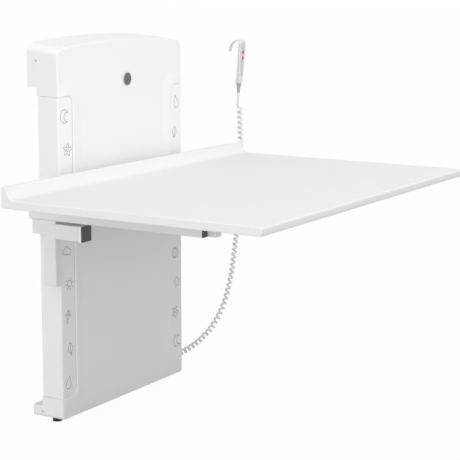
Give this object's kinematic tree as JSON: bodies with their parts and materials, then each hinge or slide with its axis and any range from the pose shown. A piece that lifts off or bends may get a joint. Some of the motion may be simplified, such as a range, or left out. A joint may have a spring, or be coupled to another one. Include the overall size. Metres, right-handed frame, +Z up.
{
  "type": "height-adjustable baby changing station",
  "caption": "Wall-mounted baby changing station: a lift column behind a wide table with a rear lip, raised and lowered from a handset on a curly cord.",
  "frame": {"origin": "centre of the four wall bolts, on the wall face", "axes": "+X along the wall to the right as seen from the room, +Y into the wall, +Z up"},
  "size_m": [1.38, 0.943, 1.1109],
  "materials": {
    "cover_white": "moulded, fine satin grain",
    "board_white": "satin laminate on a moulded board",
    "frame_grey": "light grey powder coat",
    "bare_steel": "zinc plated",
    "slide_steel": "drawn",
    "cap_dark": "moulded",
    "cap_light": "moulded",
    "glide_dark": "moulded",
    "drive_black": "moulded",
    "foot_rubber": "moulded",
    "badge_grey": "gloss",
    "handset_white": "satin",
    "key_plate_grey": "printed film",
    "button_white": "satin",
    "relief_grey": "moulded",
    "cord_white": "smooth"
  },
  "bodies": {
    "column": {"wall_plate": "bare_steel", "base_bracket": "bare_steel", "head_bracket": "bare_steel", "guide_rail_left": "slide_steel", "guide_rail_right": "slide_steel", "lead_screw": "bare_steel", "control_box": "drive_black", "front_cover": "cover_white", "side_strip_left": "cover_white", "side_strip_right": "cover_white", "badge": "badge_grey", "cover_screws": "bare_steel", "levelling_feet": "foot_rubber", "handset_front": "handset_white", "handset_back": "handset_white", "key_plate": "key_plate_grey", "strain_relief": "relief_grey", "cord_tail": "cord_white", "curly_cord": "cord_white", "cord_gland": "relief_grey"},
    "table_lift": {"carriage_plate": "bare_steel", "glides": "glide_dark", "drive_case": "drive_black", "drive_motor": "bare_steel", "side_arm_left": "frame_grey", "side_arm_right": "frame_grey", "stub_left": "frame_grey", "stub_right": "frame_grey", "stub_collars": "cap_light", "stub_caps": "cap_dark", "arm_rail_left": "frame_grey", "arm_rail_right": "frame_grey", "rail_caps": "cap_dark", "table_rail_left": "frame_grey", "table_rail_right": "frame_grey", "table_rail_caps": "cap_light", "cross_tube_rear": "frame_grey", "cross_tube_middle": "frame_grey", "cross_tube_front": "frame_grey", "table_top": "board_white"},
    "button_up": {"button_up": "button_white"},
    "button_down": {"button_down": "button_white"}
  },
  "joints": [
    {"name": "lift", "type": "slide", "parent": "column", "child": "table_lift", "axis": [0, 0, 1], "range_m": [-0.385, 0.3]},
    {"name": "press_up", "type": "slide", "parent": "column", "child": "button_up", "axis": [0, 0.9982, 0.0593], "range_m": [0, 0.0008], "stiffness_N_per_m": 400},
    {"name": "press_down", "type": "slide", "parent": "column", "child": "button_down", "axis": [0, 0.9982, 0.0593], "range_m": [0, 0.0008], "stiffness_N_per_m": 400}
  ]
}
